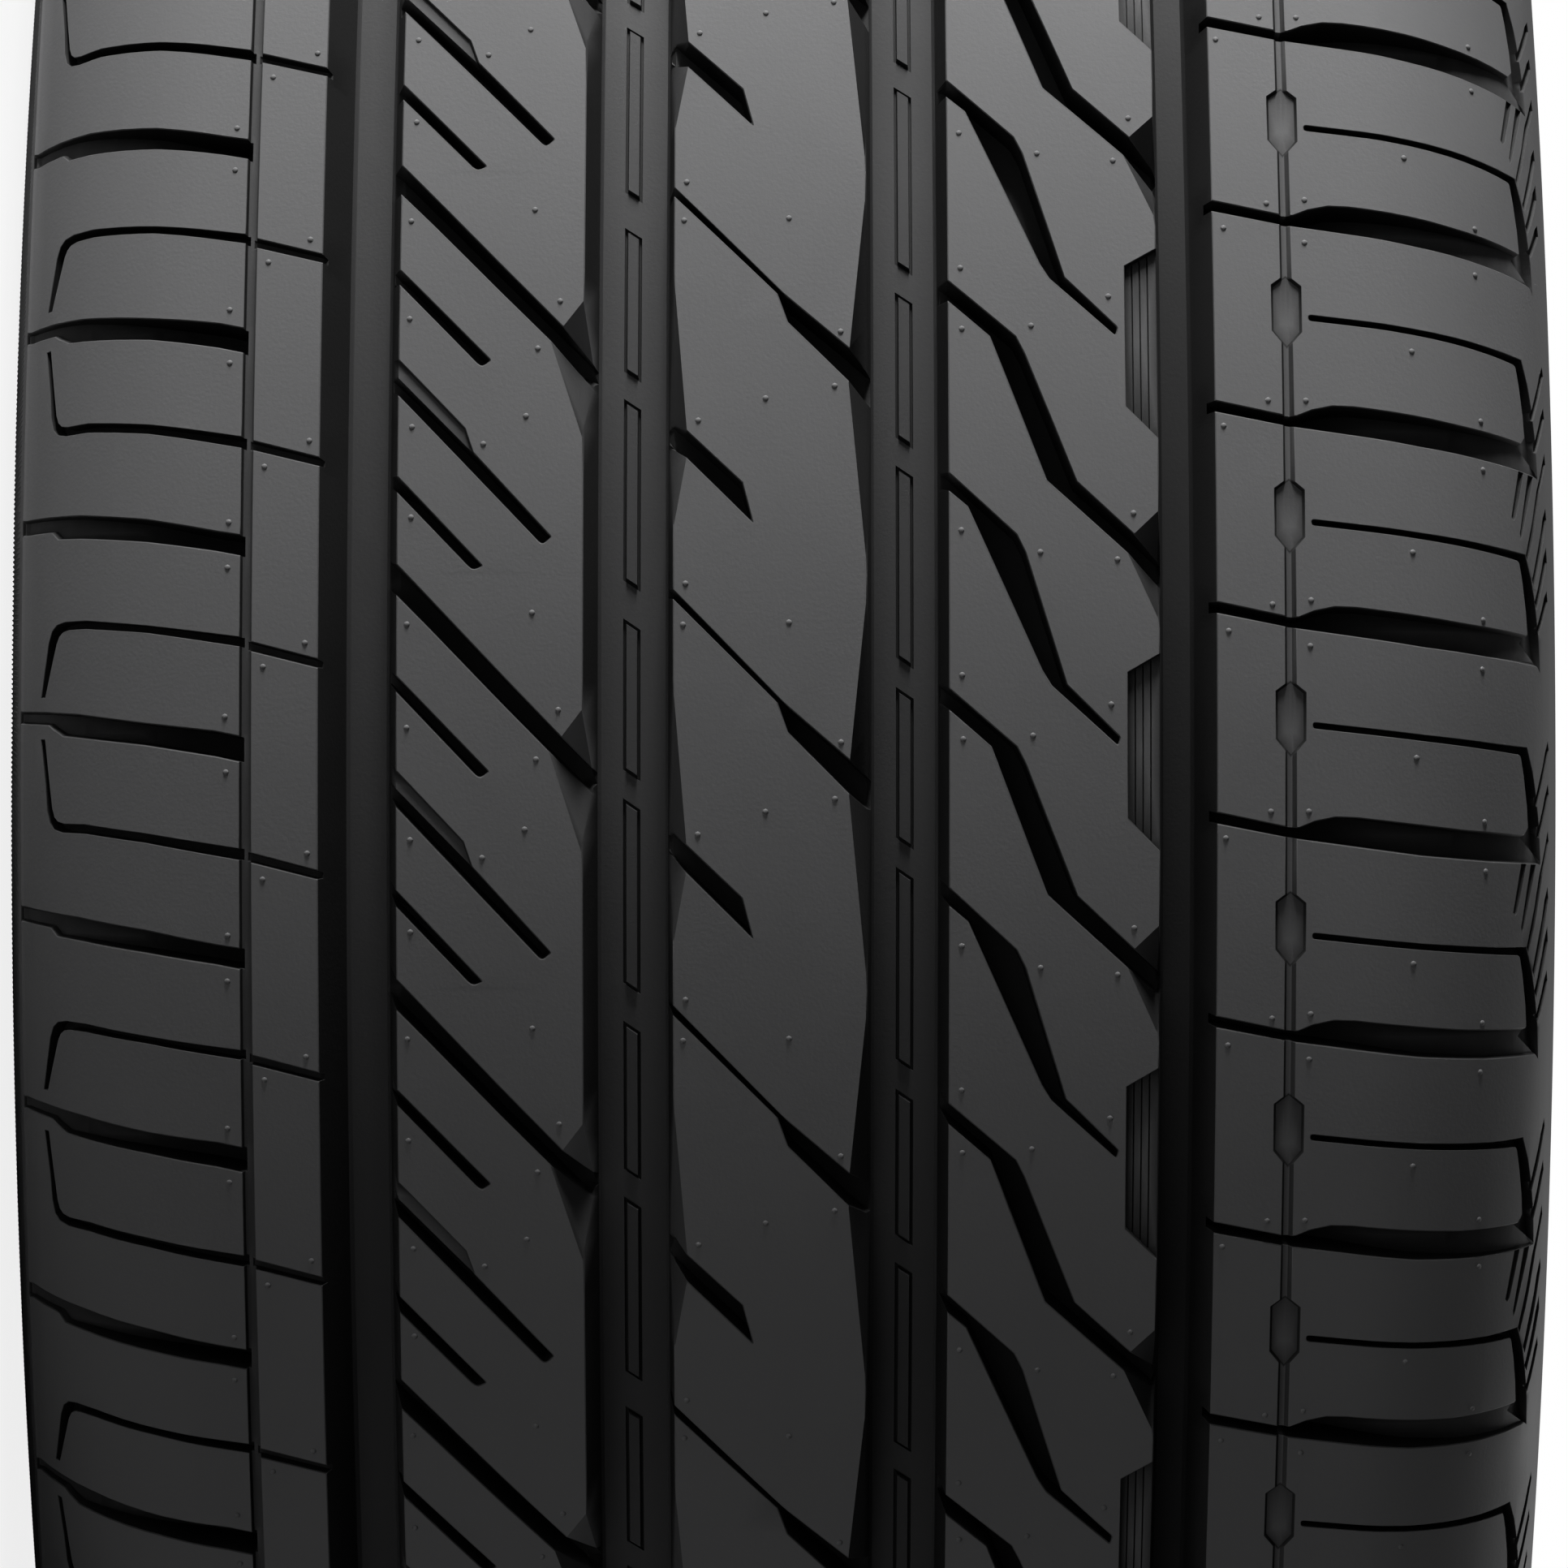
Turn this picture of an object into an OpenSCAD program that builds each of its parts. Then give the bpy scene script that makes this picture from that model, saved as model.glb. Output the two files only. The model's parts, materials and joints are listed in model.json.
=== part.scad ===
// Car tyre, road pattern, tubeless radial, nominal size 225/45 R17.
// It is one moulding. The axle line is +Z, with the origin at the wheel's centre,
// so the tyre lies on its lower sidewall.
// The tread is laid out on a strip: z runs across it, and the second measure runs
// around it as a share of one pair of pitches, a long pitch and a short one.

/* [Overall size] */
// Diameter over the tread
outer_d = 634.3; // [610:0.1:660]
// Width over the sidewalls
section_w = 228; // [222:0.5:240]
// Diameter of the bead seats, as the wheel rim has it
rim_d = 436.6; // [420:0.1:440]
// Distance between the faces of the rim flanges
rim_w = 190.5; // [180:0.5:195]

/* [Crown] */
// Width between the two edges of the tread
tread_w = 217.6; // [214:0.1:219]
// Radius of the crown across the tread
crown_arc_r = 2000; // [1200:10:4000]
// Radius of the round shoulders
shoulder_r = 34; // [30:0.5:38]
// Thickness from the tread's surface to the air inside
crown_t = 14.6; // [12.5:0.1:17]

/* [Sidewalls and beads] */
// Thickness of a sidewall
side_t = 7; // [5:0.1:9]
// Radius of the sidewalls' bulge
side_r = 60; // [55:1:70]
// How far the sidewalls step out at the tread's edges
edge_step = 0.7; // [0.5:0.1:1]
// How far out the rim guard stands from the flange's face
guard_out = 14; // [11:0.1:15]
// Width of a bead's seat on the rim
seat_w = 12; // [10:0.1:14]
// Radius of a bead's heel
heel_r = 4.5; // [3:0.1:6]

/* [Circumferential grooves] */
// Depth of the four wide grooves
groove_depth = 7.5; // [6:0.1:8.5]
// Width of groove one at the surface, next to the thin rib
groove_1_w = 11.3; // [10:0.1:12]
// Width of groove two
groove_2_w = 12.95; // [11:0.1:14]
// Width of groove three
groove_3_w = 11.8; // [10.5:0.1:12.5]
// Width of groove four, on the outer side
groove_4_w = 8.35; // [7:0.1:9.5]
// Width of the thin groove of the left shoulder
thin_groove_w = 1.8; // [1:0.1:2.5]
// Depth of the thin groove of the left shoulder
thin_groove_depth = 2; // [1:0.1:3]
// Width of the fine groove of the right shoulder
fine_groove_w = 1.7; // [1:0.1:2.2]
// Depth of the fine groove of the right shoulder
fine_groove_depth = 1; // [0.6:0.1:1.5]

/* [Ribs] */
// Where the left edge of the middle rib lies from the centre
middle_rib_from = -15.45; // [-17:0.05:-13]
// Width of the middle rib
middle_rib_w = 27; // [26:0.1:28]
// Width of the rib left of the middle one
left_rib_w = 25.95; // [24:0.1:28]
// Width of the rib right of the middle one
right_rib_w = 29.3; // [28:0.1:31]
// Width of the thin rib beside the left shoulder
thin_rib_w = 9.2; // [8:0.1:10]

/* [Cross cuts] */
// Number of pairs of pitches round the tread
pitch_pairs = 34; // [32:1:35]
// Depth of the cuts that run through a rib
cut_depth = 6; // [4.5:0.1:7]
// Depth of the blind cuts
blind_depth = 4.5; // [3:0.1:6]
// Depth of the bevels at the ribs' corners
bevel_depth = 5; // [3:0.1:6]
// Depth of the stepped ledges beside the cuts
ledge_depth = 1.2; // [0.6:0.1:2]
// Depth of the narrow cuts of the shoulders
narrow_depth = 2.2; // [1.5:0.1:3]

/* [Hidden] */
turn_fn = 180;
outer_r = outer_d / 2;
seat_r = rim_d / 2;
pair = PI * outer_d / pitch_pairs;
over = 2;

// A round shoulder is part of a disc that touches the crown arc and ends at the tread's edge
edge_angle = 57;
edge_z = tread_w / 2;
disc_z = edge_z - shoulder_r * sin(edge_angle);
flat_z = disc_z / (1 - shoulder_r / crown_arc_r);
flat_angle = asin(flat_z / crown_arc_r);
disc_r = outer_r - crown_arc_r + (crown_arc_r - shoulder_r) * cos(flat_angle);
edge_r = disc_r + shoulder_r * cos(edge_angle);
sink = 0.02;

// Edges of the ribs at the surface, from the left to the right
middle_rib_to = middle_rib_from + middle_rib_w;
left_rib_to = middle_rib_from - groove_2_w;
left_rib_from = left_rib_to - left_rib_w;
thin_rib_to = left_rib_from - groove_1_w;
thin_rib_from = thin_rib_to - thin_rib_w;
left_shoulder_to = thin_rib_from - thin_groove_w;
right_rib_from = middle_rib_to + groove_3_w;
right_rib_to = right_rib_from + right_rib_w;
right_shoulder_from = right_rib_to + groove_4_w;
fine_groove_z = right_shoulder_from + 10.25;

// Radius of the tread's surface at a distance z from the middle
function surface_r(z) =
    let (a = abs(z))
    a <= flat_z
    ? outer_r - crown_arc_r + sqrt(crown_arc_r * crown_arc_r - a * a)
    : disc_r + sqrt(shoulder_r * shoulder_r - pow(a - disc_z, 2));

function arc(z, r, radius, from, to, steps) =
    [for (i = [0 : steps])
        let (a = from + (to - from) * i / steps)
        [r + radius * sin(a), z + radius * cos(a)]];

function at(z) = [surface_r(z), z];

// A wide groove between two surface edges, with its two walls laid back
function groove(z0, z1, depth, lay0, lay1) =
    [at(z0), [surface_r(z0) - depth, z0 + lay0], [surface_r(z1) - depth, z1 - lay1], at(z1)];

function flipped(points) = [for (i = [len(points) - 1 : -1 : 0]) points[i]];
function mirrored(points) = [for (p = points) [p[0], -p[1]]];

// From the tread's edge down to the bead and up the inside, for the upper half
side_z = section_w / 2;
side_mid_r = seat_r + 0.54 * (outer_r - seat_r);
side_high = 11;
flange_z = rim_w / 2;
flange_h = 17.5;
guard_z = flange_z + guard_out;
guard_r = seat_r + flange_h + 8;
side_low = asin((guard_r + 6 - side_mid_r) / side_r);
seat_to = flange_z - heel_r;
toe_z = seat_to - seat_w;
lining_r = side_r - side_t;
lining_low = -32;
lining_high = 12;
lining_corner_r = 18;
lining_corner_z = side_z - side_r + lining_r * cos(lining_high) - lining_corner_r;

half_outside = concat(
    [[surface_r(flat_z) - sink, flat_z],
     [edge_r - 0.2, edge_z - 0.5],
     [edge_r, edge_z + edge_step]],
    arc(side_z - side_r, side_mid_r, side_r, side_high, side_low, 12),
    [[guard_r + 4, guard_z + 0.4],
     [guard_r, guard_z],
     [guard_r - 4, guard_z - 4.5],
     [seat_r + flange_h, flange_z + 3],
     [seat_r + flange_h - 3.5, flange_z]],
    arc(seat_to, seat_r + heel_r, heel_r, 0, -90, 4),
    [[seat_r, toe_z],
     [seat_r + 1.8, toe_z - 1.6]]);

half_inside = concat(
    [[seat_r + 12, flange_z - 15],
     [seat_r + 21, flange_z - 5.5]],
    arc(side_z - side_r, side_mid_r, lining_r, lining_low, lining_high, 10),
    arc(lining_corner_z, outer_r - crown_t - lining_corner_r, lining_corner_r, 15, 90, 8));

crown_profile = concat(
    groove(left_shoulder_to, thin_rib_from, thin_groove_depth, 0, 0),
    groove(thin_rib_to, left_rib_from, groove_depth, 3.4, 2.2),
    groove(left_rib_to, middle_rib_from, groove_depth, 1.9, 0.9),
    groove(middle_rib_to, right_rib_from, groove_depth, 0.75, 1.4),
    groove(right_rib_to, right_shoulder_from, groove_depth, 1.2, 2.7),
    [at(fine_groove_z - fine_groove_w / 2),
     at(fine_groove_z) - [fine_groove_depth, 0],
     at(fine_groove_z + fine_groove_w / 2)]);

module outline() {
    half = concat(half_outside, half_inside);
    polygon(concat(crown_profile, half, mirrored(flipped(half))));
    for (side = [-1, 1])
        intersection() {
            translate([disc_r, side * disc_z]) circle(r = shoulder_r, $fn = turn_fn);
            translate([edge_r - 1, side > 0 ? disc_z - 1.6 : -edge_z - 3])
                square([shoulder_r, edge_z + 4.6 - disc_z]);
        }
}

module casing() {
    rotate_extrude($fn = turn_fn) outline();
}

// Points on a rib: [share of its width, share of a pair], as [round, across] in mm
function on(from, width, points) = [for (p = points) [p[1] * pair, from + p[0] * width]];

function middle(points) = (max([for (p = points) p[0]]) + min([for (p = points) p[0]])) / 2;

// Holds what is inside it at a place round the tread
module round_at(v) {
    rotate([0, 0, v / outer_r * 180 / PI - 90]) children();
}

// A prism that stands on the tread strip, from a radius outwards
module upright(points, from_r, to_r) {
    v = middle(points);
    round_at(v)
        translate([from_r, 0, 0])
            rotate([90, 0, 90])
                linear_extrude(to_r - from_r)
                    polygon([for (p = points) [p[0] - v, p[1]]]);
}

// A cut down to a depth below the surface at the cut's own place
module cut(points, depth) {
    z = [for (p = points) p[1]];
    z_mid = (max(z) + min(z)) / 2;
    upright(points, surface_r(z_mid) - depth, outer_r + over);
}

// A bevel over the corner a, b, c: its edge on the surface runs from a to b, and it falls
// to the given depth at c
module bevel(corners, depth) {
    a = corners[0];
    run = corners[1] - a;
    long = norm(run);
    way = corners[2] - a;
    t = (way * run) / long;
    q = (way[1] * run[0] - way[0] * run[1]) / long;
    slope = atan2(depth, q);
    v = (a[0] + corners[1][0]) / 2;
    round_at(v)
        translate([surface_r(a[1]), a[0] - v, a[1]])
            rotate([atan2(run[1], run[0]), 0, 0])
                rotate([0, -slope, 0])
                    rotate([90, 0, 90])
                        linear_extrude(cut_depth)
                            polygon([[0, 0], [max(long, t), 0], [t, q / cos(slope)]]);
}

module left_rib_cuts() {
    w = left_rib_w;
    f = left_rib_from;
    cut(on(f, w, [[-0.1, -0.574], [1.12, -0.022], [1.12, 0.052], [-0.1, -0.496]]), cut_depth);
    cut(on(f, w, [[-0.06, -0.285], [0.5, -0.030], [0.447, -0.017], [-0.06, -0.247]]), blind_depth);
    cut(on(f, w, [[-0.06, -0.015], [0.834, 0.405], [0.794, 0.422], [-0.06, 0.032]]), blind_depth);
    cut(on(f, w, [[-0.06, -0.056], [0.36, 0.138], [0.403, 0.200], [-0.06, -0.012]]), ledge_depth);
    cut(on(f, w, [[-0.06, 0.230], [0.462, 0.475], [0.398, 0.483], [-0.06, 0.271]]), blind_depth);
    bevel(on(f, w, [[1, -0.177], [0.89, -0.113], [1.055, -0.036]]), bevel_depth);
    bevel(on(f, w, [[0.823, -0.077], [0.996, 0.16], [1.058, 0.029]]), bevel_depth);
}

module middle_rib_cuts() {
    w = middle_rib_w;
    f = middle_rib_from;
    cut(on(f, w, [[-0.06, -0.497], [0.572, -0.1945], [1.06, -0.010], [1.06, 0.071],
                  [0.591, -0.124], [0.544, -0.2005], [-0.06, -0.475]]), cut_depth);
    cut(on(f, w, [[-0.04, 0.098], [0.356, 0.273], [0.412, 0.366], [-0.04, 0.172]]),
        blind_depth);
    bevel(on(f, w, [[0.995, -0.461], [0.915, -0.058], [1.03, -0.017]]), bevel_depth);
    bevel(on(f, w, [[0.909, 0.024], [0.995, 0.495], [1.03, 0.067]]), bevel_depth);
}

module right_rib_cuts() {
    w = right_rib_w;
    f = right_rib_from;
    cut(on(f, w, [[-0.06, -0.256], [0.32, -0.090], [0.611, 0.269], [1.06, 0.486],
                  [1.06, 0.552], [0.466, 0.267], [0.196, -0.090], [-0.06, -0.205]]),
        cut_depth);
    cut(on(f, w, [[-0.06, 0.220], [0.32, 0.398], [0.56, 0.761], [0.816, 0.887],
                  [0.804, 0.909], [0.44, 0.727], [0.085, 0.331], [-0.06, 0.266]]), blind_depth);
    cut(on(f, w, [[1.05, -0.320], [0.85, -0.269], [0.85, 0.084], [1.05, 0.176]]), ledge_depth);
    bevel(on(f, w, [[1, 0.341], [0.884, 0.400], [1.03, 0.464]]), bevel_depth);
    bevel(on(f, w, [[0.853, 0.451], [0.998, 0.599], [1.03, 0.524]]), bevel_depth);
}

// The floor of a shoulder's cuts follows the round shoulder out past the tread's edge
module shoulder_floor(side, from, depth_from, depth_to) {
    steps = 2;
    floor_line = [for (i = [0 : steps])
        let (t = sin(90 * i / steps), z = abs(from) + (edge_z - abs(from)) * t)
        [surface_r(z) - depth_from - (depth_to - depth_from) * t, side * z]];
    run_out = floor_line[steps] + (floor_line[steps] - floor_line[steps - 1]) * 0.3;
    rotate([90, 0, 0])
        linear_extrude(pair, center = true)
            polygon(concat([for (i = [0 : steps - 1]) floor_line[i]],
                           [run_out, [outer_r + over, run_out[1]],
                            [outer_r + over, side * abs(from)]]));
}

module shoulder_cut(side, from, points, depth_from, depth_to) {
    v = middle(points);
    intersection() {
        upright(points, outer_r - 40, outer_r + over);
        round_at(v) shoulder_floor(side, from, depth_from, depth_to);
    }
}

left_span = edge_z + left_shoulder_to;
function on_left(points) =
    [for (p = points) [p[1] * pair, left_shoulder_to - p[0] * left_span]];

module left_shoulder_cuts() {
    inner = left_shoulder_to + 1;
    shoulder_cut(-1, inner, on_left([
        [-0.02, -0.116], [1.07, -0.192], [1.07, -0.142], [-0.02, -0.053]]),
        cut_depth, ledge_depth);
    shoulder_cut(-1, inner, on_left([
        [-0.02, 0.396], [1.07, 0.311], [1.07, 0.362], [-0.02, 0.447]]),
        cut_depth, ledge_depth);
    shoulder_cut(-1, inner, on_left([
        [-0.02, -0.353], [0.83, -0.4095], [0.83, -0.386], [-0.02, -0.330]]),
        narrow_depth, narrow_depth);
    shoulder_cut(-1, inner, on_left([
        [-0.02, 0.159], [0.83, 0.0935], [0.83, 0.118], [-0.02, 0.184]]),
        narrow_depth, narrow_depth);
    for (v = [-0.343, 0.166])
        cut([for (p = [[-0.1, 0], [1.09, 0.047], [1.09, 0.071], [-0.1, 0.024]])
             [(v + p[1]) * pair, thin_rib_from + p[0] * thin_rib_w]], ledge_depth);
}

right_span = edge_z - right_shoulder_from;
function on_right(points, v) =
    [for (p = points) [(v + p[1]) * pair, right_shoulder_from + p[0] * right_span]];

module right_shoulder_cuts() {
    inner = right_shoulder_from - 1;
    for (v = [-0.439, 0.068]) {
        shoulder_cut(1, inner, on_right([
            [-0.02, -0.002], [0.241, 0.041], [0.356, 0.013], [1.05, 0.076],
            [1.05, 0.1445], [0.398, 0.087], [-0.02, 0.028]], v),
            cut_depth, ledge_depth);
        shoulder_cut(1, inner, on_right([
            [0.282, 0.295], [0.93, 0.350], [0.93, 0.367], [0.282, 0.311]], v),
            narrow_depth, narrow_depth);
    }
}

module tread_cuts() {
    for (i = [0 : pitch_pairs - 1])
        rotate([0, 0, 360 * i / pitch_pairs]) {
            left_rib_cuts();
            middle_rib_cuts();
            right_rib_cuts();
            left_shoulder_cuts();
            right_shoulder_cuts();
        }
}

module tyre() {
    color("#2b2b2d")
        difference() {
            casing();
            tread_cuts();
        }
}

tyre();
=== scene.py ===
"""The looks of a car tyre: its moulded tread, sidewalls, vent nubs and serrations, in a white studio."""
import json
import logging
import math
from dataclasses import dataclass
from enum import Enum
from functools import cache
from typing import Sequence

import bpy
import numpy as np
from mathutils import Matrix, Vector
from mathutils.geometry import delaunay_2d_cdt


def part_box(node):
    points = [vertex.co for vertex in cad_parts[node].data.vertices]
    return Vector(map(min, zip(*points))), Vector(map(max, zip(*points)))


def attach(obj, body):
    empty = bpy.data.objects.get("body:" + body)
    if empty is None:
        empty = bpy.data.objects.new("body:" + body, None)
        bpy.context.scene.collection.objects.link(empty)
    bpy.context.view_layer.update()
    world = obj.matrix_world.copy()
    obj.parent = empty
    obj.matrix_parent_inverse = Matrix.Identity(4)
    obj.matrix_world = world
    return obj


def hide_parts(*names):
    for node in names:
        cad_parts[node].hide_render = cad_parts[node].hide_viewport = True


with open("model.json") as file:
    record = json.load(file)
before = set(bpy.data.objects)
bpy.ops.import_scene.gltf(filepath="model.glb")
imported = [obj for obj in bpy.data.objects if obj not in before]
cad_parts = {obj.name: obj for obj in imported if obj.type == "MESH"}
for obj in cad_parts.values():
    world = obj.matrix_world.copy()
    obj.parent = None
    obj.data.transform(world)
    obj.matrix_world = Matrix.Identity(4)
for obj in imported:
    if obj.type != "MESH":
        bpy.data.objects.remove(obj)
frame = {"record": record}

LOG = logging.getLogger("tyre")
MM = 0.001
NODE = "tyre"
BODY = "root"
PITCH_PAIRS = 34
COLUMNS = 6
EDGE_DROP = 0.8
WELD = 5e-6
TINY = 1e-12

Outline = Sequence[Sequence[float]]
Nodes = dict[str, tuple[str, dict]]


class Side(Enum):
    """The two sides of the tread, as the sign of the distance from its middle."""

    LEFT = -1
    RIGHT = 1


@dataclass(frozen=True)
class Section:
    """The tyre's cross-section in millimetres, with the sizes that the frame doesn't give as defaults."""

    outer_r: float
    half_w: float
    bead_r: float
    crown_arc_r: float = 2000.0
    shoulder_r: float = 34.0
    shoulder_angle: float = 57.0
    shoulder_in: float = 5.2
    edge_step: float = 0.7
    side_r: float = 60.0
    side_mid_share: float = 0.54
    side_high: float = 11.0
    band_low: float = 3.0
    flange_z: float = 95.25
    guard_out: float = 14.0
    flange_h: float = 17.5
    heel_r: float = 4.5
    seat_w: float = 12.0
    side_t: float = 7.0
    crown_t: float = 14.6
    lining_r: float = 18.0
    lining_low: float = -32.0
    lining_high: float = 12.0
    line_h: float = 0.45
    lines_at: tuple[int, ...] = (5, 17, 19)

    @classmethod
    def from_frame(cls) -> "Section":
        """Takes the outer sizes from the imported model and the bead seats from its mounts."""
        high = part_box(NODE)[1]
        return cls(high[0] / MM, high[2] / MM, frame["record"]["mounts"][0]["dims"]["r_mm"])

    @property
    def edge_z(self) -> float:
        """Distance from the middle to the tread's edge."""
        return self.half_w - self.shoulder_in

    @property
    def side_mid_r(self) -> float:
        """Radius at which the sidewall is widest."""
        return self.bead_r + self.side_mid_share * (self.outer_r - self.bead_r)

    def arc(self, z: float, r: float, radius: float, start: float, stop: float, steps: int) -> np.ndarray:
        """Points on an arc of the section.

        Args:
            z: The arc's centre across the tyre.
            r: The arc's centre from the axle line.
            radius: The arc's radius.
            start: First angle from the axle's direction, in degrees.
            stop: Last angle.
            steps: Number of stretches.

        Returns:
            Rows of (r, z).
        """
        angle = np.radians(np.linspace(start, stop, steps + 1))
        return np.column_stack([r + radius * np.sin(angle), z + radius * np.cos(angle)])

    def side_arc(self, radius: float, start: float, stop: float, steps: int) -> np.ndarray:
        """Points on an arc about the centre of the sidewall's bulge, as arc gives them."""
        return self.arc(self.half_w - self.side_r, self.side_mid_r, radius, start, stop, steps)

    def band_half(self, side: Side) -> np.ndarray:
        """The outside from the middle of the tread to just below the buttress.

        Args:
            side: The left has a lip at the tread's edge, the right a soft bend.

        Returns:
            Rows of (r, z), with z positive on both sides.
        """
        disc_z = self.edge_z - self.shoulder_r * math.sin(math.radians(self.shoulder_angle))
        flat = math.asin(disc_z / (1 - self.shoulder_r / self.crown_arc_r) / self.crown_arc_r)
        meet = 90 - math.degrees(flat)
        crown_r = self.outer_r - self.crown_arc_r
        disc_r = crown_r + (self.crown_arc_r - self.shoulder_r) * math.cos(flat)
        crown = self.arc(0, crown_r, self.crown_arc_r, 90, meet, 160)
        shoulder = self.arc(disc_z, disc_r, self.shoulder_r, meet, 90 - self.shoulder_angle, 140)
        below = self.side_arc(self.side_r, self.side_high, self.band_low, 24)
        edge_r, lip_z = shoulder[-1][0], self.edge_z + self.edge_step
        lip = np.array([[edge_r - 0.1, self.edge_z + 0.35], [edge_r - 0.25, lip_z - 0.1], [edge_r - 0.8, lip_z]])
        buttress = lip[-1] + (below[0] - lip[-1]) * np.linspace(0.02, 0.98, 40)[:, None]
        if side is Side.RIGHT:
            bend = np.linspace(0.0, 1.0, 16)[:, None]
            first, corner, last = shoulder[-12], shoulder[-1], buttress[9]
            lip = (1 - bend) ** 2 * first + 2 * bend * (1 - bend) * corner + bend ** 2 * last
            shoulder, buttress = shoulder[:-12], buttress[10:]
        return np.vstack([crown, shoulder[1:], lip, buttress, below])

    def under_band(self, hidden: float) -> np.ndarray:
        """The underside of the tread's pieces, which lies inside the carcass.

        Args:
            hidden: Distance below the tread's surface.

        Returns:
            Rows of (r, z), from the middle outwards.
        """
        top = self.outer_r - hidden
        edge = self.edge_z - 0.6 * hidden
        return np.array([[top, 0], [top, 50], [top - 1.8, 84], [top - 9.5, edge - 4.5], [top - 20, edge + 2],
                         [top - 26, edge + 3.8]])

    def carcass_half(self, hidden: float) -> np.ndarray:
        """Sidewall, bead and lining of one half, from under the tread round to the middle.

        Args:
            hidden: How far the hidden part lies below the tread's surface.

        Returns:
            Rows of (r, z), from the middle under the tread, out, down and back to the middle.
        """
        guard_z, guard_r = self.flange_z + self.guard_out, self.bead_r + self.flange_h + 8
        low = math.degrees(math.asin((guard_r + 6 - self.side_mid_r) / self.side_r))
        seat_to, flange_r = self.flange_z - self.heel_r, self.bead_r + self.flange_h
        toe_z, top = seat_to - self.seat_w, self.outer_r - hidden
        under = np.array([[top, 0], [top, 50], [top - 2, 84], [top - 16, 100],
                          [self.side_mid_r + 12, self.half_w - 7]])
        join = self.side_arc(self.side_r, self.band_low, self.band_low - 1.2, 1)
        join[0] -= (0, 0.9)
        side = self.with_lines(self.side_arc(self.side_r, self.band_low - 1.6, low, 26))
        guard = np.array([[guard_r + 4.5, guard_z + 0.5], [guard_r + 1.5, guard_z + 0.5],
                          [guard_r - 0.5, guard_z - 0.1], [guard_r - 4, guard_z - 4.2],
                          [flange_r + 0.8, self.flange_z + 3.4], [flange_r - 1.6, self.flange_z + 1.2],
                          [flange_r - 4, self.flange_z]])
        heel = self.arc(seat_to, self.bead_r + self.heel_r, self.heel_r, 0, -90, 6)
        inner_r = self.side_r - self.side_t
        lining_z = self.half_w - self.side_r + inner_r * math.cos(math.radians(self.lining_high)) - self.lining_r
        lining_top = self.outer_r - self.crown_t
        return np.vstack([under, join, side, guard, heel, [[self.bead_r, toe_z], [self.bead_r + 1.6, toe_z - 1.6]],
                          [[self.bead_r + 12, self.flange_z - 15], [self.bead_r + 21, self.flange_z - 5.5]],
                          self.side_arc(inner_r, self.lining_low, self.lining_high, 14),
                          self.arc(lining_z, lining_top - self.lining_r, self.lining_r, 15, 90, 10),
                          [[lining_top, 0]]])

    def with_lines(self, side: np.ndarray) -> np.ndarray:
        """Adds the three fine raised lines that run round the sidewall.

        Args:
            side: The sidewall's arc as (r, z) rows, from the tread down.

        Returns:
            The same arc with its low ridges.
        """
        made = []
        for index, point in enumerate(side):
            made.append(point)
            if index in self.lines_at:
                step = side[index + 1] - point
                out = np.array([-step[1], step[0]]) / np.hypot(*step) * self.line_h
                out *= np.sign(out[1])
                made += [point + step * 0.30, point + step * 0.42 + out,
                         point + step * 0.62 + out, point + step * 0.74]
        return np.array(made)


class Strip:
    """Lays a flat strip, distance across and distance round, onto the tyre's outside."""

    def __init__(self, section: Section) -> None:
        """Measures the outside along its own length.

        Args:
            section: The tyre's cross-section.
        """
        self.section = section
        lines = []
        for side in Side:
            half = section.band_half(side)
            run = np.concatenate([[0.0], np.cumsum(np.hypot(*np.diff(half, axis=0).T))])
            slope = np.unwrap(np.arctan2(np.gradient(half[:, 1], run), -np.gradient(half[:, 0], run)))
            tilt = math.pi / 2 - slope
            tilt[0] = 0.0
            line = np.column_stack([run, half[:, 0], half[:, 1], tilt]) * (side.value, 1, side.value, side.value)
            lines.append(line[:0:-1] if side is Side.LEFT else line)
        self.run, self.r, self.z, self.tilt = np.vstack(lines).T
        self.pair = 2 * math.pi * section.outer_r / PITCH_PAIRS
        self.ends = {Side.LEFT: float(self.run[0]), Side.RIGHT: float(self.run[-1])}

    def across(self, z: float) -> float:
        """The distance along the surface for a distance z from the middle."""
        return float(np.interp(z, self.z, self.run))

    def lay(self, points: Outline) -> np.ndarray:
        """The same outline, with distances from the middle turned into distances along the surface."""
        return np.array([(self.across(p[0]), p[1]) for p in points])

    def place(self, points: np.ndarray, depth: np.ndarray) -> np.ndarray:
        """Puts points of the strip on the tyre.

        Args:
            points: Rows of (distance across, distance round) in millimetres.
            depth: How far each point lies below the surface, in millimetres.

        Returns:
            Rows of (x, y, z) in metres.
        """
        tilt = np.interp(points[:, 0], self.run, self.tilt)
        r = np.interp(points[:, 0], self.run, self.r) - depth * np.cos(tilt)
        z = np.interp(points[:, 0], self.run, self.z) - depth * np.sin(tilt)
        angle = points[:, 1] / self.section.outer_r - math.pi / 2
        return np.column_stack([r * np.cos(angle), r * np.sin(angle), z]) * MM


def resampled(points: np.ndarray, step: float) -> np.ndarray:
    """Turns a closed outline anticlockwise and adds points so that no stretch is longer than a step.

    Args:
        points: The outline's corners.
        step: The longest stretch allowed.

    Returns:
        The outline with more points.
    """
    area = np.sum(points[:, 0] * np.roll(points[:, 1], -1) - points[:, 1] * np.roll(points[:, 0], -1))
    points = points if area > 0 else points[::-1]
    made = []
    for here, there in zip(points, np.roll(points, -1, axis=0)):
        count = max(1, math.ceil(np.hypot(*(there - here)) / step))
        made += [here + (there - here) * i / count for i in range(count)]
    return np.array(made)


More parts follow.
